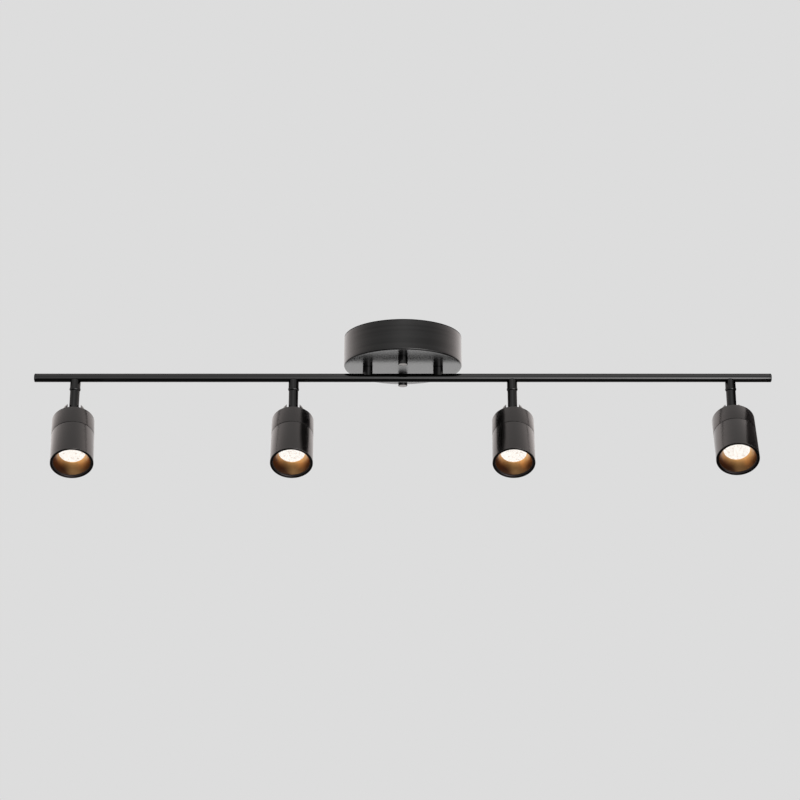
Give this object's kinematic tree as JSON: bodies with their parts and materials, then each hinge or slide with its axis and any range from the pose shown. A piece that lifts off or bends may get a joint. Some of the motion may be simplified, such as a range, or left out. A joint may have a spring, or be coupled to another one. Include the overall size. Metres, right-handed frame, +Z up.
{
  "type": "track lighting fixture",
  "caption": "Straight tubular rail on a round ceiling canopy, with cylindrical spot heads that swivel and tilt on short stems.",
  "frame": {"origin": "centre of the canopy's rim, in the ceiling's plane", "axes": "+Z up into the ceiling, +X along the rail, -Y towards the fixture's front, where the heads are aimed"},
  "size_m": [0.88, 0.141, 0.1781],
  "materials": {
    "black_paint": "satin powder coat",
    "head_paint": "satin black powder coat on die-cast aluminium",
    "trim_black": "matt black anodised",
    "zinc_steel": "bright zinc plate",
    "raw_aluminium": "bead blasted",
    "bronze_reflector": "satin bronze anodised",
    "diffuser": "moulded optic with fine facets, lit",
    "led_board": "white solder mask",
    "driver_plastic": "moulded, fine texture",
    "terminal_plastic": "moulded",
    "wire_insulation": "extruded"
  },
  "bodies": {
    "fixture": {"canopy_cover": "black_paint", "ceiling_strap": "zinc_steel", "stud_front": "zinc_steel", "stud_rear": "zinc_steel", "cap_nut_front": "black_paint", "cap_nut_rear": "black_paint", "post_left": "black_paint", "post_right": "black_paint", "post_nut_left": "zinc_steel", "post_nut_right": "zinc_steel", "driver_case": "driver_plastic", "terminal_block": "terminal_plastic", "rail_tube": "black_paint", "end_cap_left": "black_paint", "end_cap_right": "black_paint", "rail_wiring": "wire_insulation", "socket_1": "black_paint", "lock_ring_1": "black_paint", "socket_2": "black_paint", "lock_ring_2": "black_paint", "socket_3": "black_paint", "lock_ring_3": "black_paint", "socket_4": "black_paint", "lock_ring_4": "black_paint"},
    "arm_1": {"arm_1": "head_paint"},
    "head_1": {"rear_housing_1": "head_paint", "pivot_screw_1": "zinc_steel", "barrel_1": "head_paint", "bezel_1": "trim_black", "baffle_1": "bronze_reflector", "lens_1": "diffuser", "led_board_1": "led_board", "heat_sink_1": "raw_aluminium"},
    "arm_2": {"arm_2": "head_paint"},
    "head_2": {"rear_housing_2": "head_paint", "pivot_screw_2": "zinc_steel", "barrel_2": "head_paint", "bezel_2": "trim_black", "baffle_2": "bronze_reflector", "lens_2": "diffuser", "led_board_2": "led_board", "heat_sink_2": "raw_aluminium"},
    "arm_3": {"arm_3": "head_paint"},
    "head_3": {"rear_housing_3": "head_paint", "pivot_screw_3": "zinc_steel", "barrel_3": "head_paint", "bezel_3": "trim_black", "baffle_3": "bronze_reflector", "lens_3": "diffuser", "led_board_3": "led_board", "heat_sink_3": "raw_aluminium"},
    "arm_4": {"arm_4": "head_paint"},
    "head_4": {"rear_housing_4": "head_paint", "pivot_screw_4": "zinc_steel", "barrel_4": "head_paint", "bezel_4": "trim_black", "baffle_4": "bronze_reflector", "lens_4": "diffuser", "led_board_4": "led_board", "heat_sink_4": "raw_aluminium"}
  },
  "joints": [
    {"name": "swivel_1", "type": "hinge", "parent": "fixture", "child": "arm_1", "pos_m": [-0.391, 0, -0.065], "axis": [0, 0, 1], "range_deg": [-188.6, 161.4]},
    {"name": "tilt_1", "type": "hinge", "parent": "arm_1", "child": "head_1", "pos_m": [-0.391, 0, -0.0946], "axis": [-0.972, -0.2351, 0], "range_deg": [-120.5, 59.5]},
    {"name": "swivel_2", "type": "hinge", "parent": "fixture", "child": "arm_2", "pos_m": [-0.13033, 0, -0.065], "axis": [0, 0, 1], "range_deg": [-177.8, 172.2]},
    {"name": "tilt_2", "type": "hinge", "parent": "arm_2", "child": "head_2", "pos_m": [-0.13033, 0, -0.0946], "axis": [-0.9988, -0.0489, 0], "range_deg": [-120.4, 59.6]},
    {"name": "swivel_3", "type": "hinge", "parent": "fixture", "child": "arm_3", "pos_m": [0.13033, 0, -0.065], "axis": [0, 0, 1], "range_deg": [-171.3, 178.7]},
    {"name": "tilt_3", "type": "hinge", "parent": "arm_3", "child": "head_3", "pos_m": [0.13033, 0, -0.0946], "axis": [-0.9979, 0.0645, 0], "range_deg": [-120.5, 59.5]},
    {"name": "swivel_4", "type": "hinge", "parent": "fixture", "child": "arm_4", "pos_m": [0.391, 0, -0.065], "axis": [0, 0, 1], "range_deg": [-167, 183]},
    {"name": "tilt_4", "type": "hinge", "parent": "arm_4", "child": "head_4", "pos_m": [0.391, 0, -0.0946], "axis": [-0.9903, 0.1392, 0], "range_deg": [-125, 55]}
  ]
}
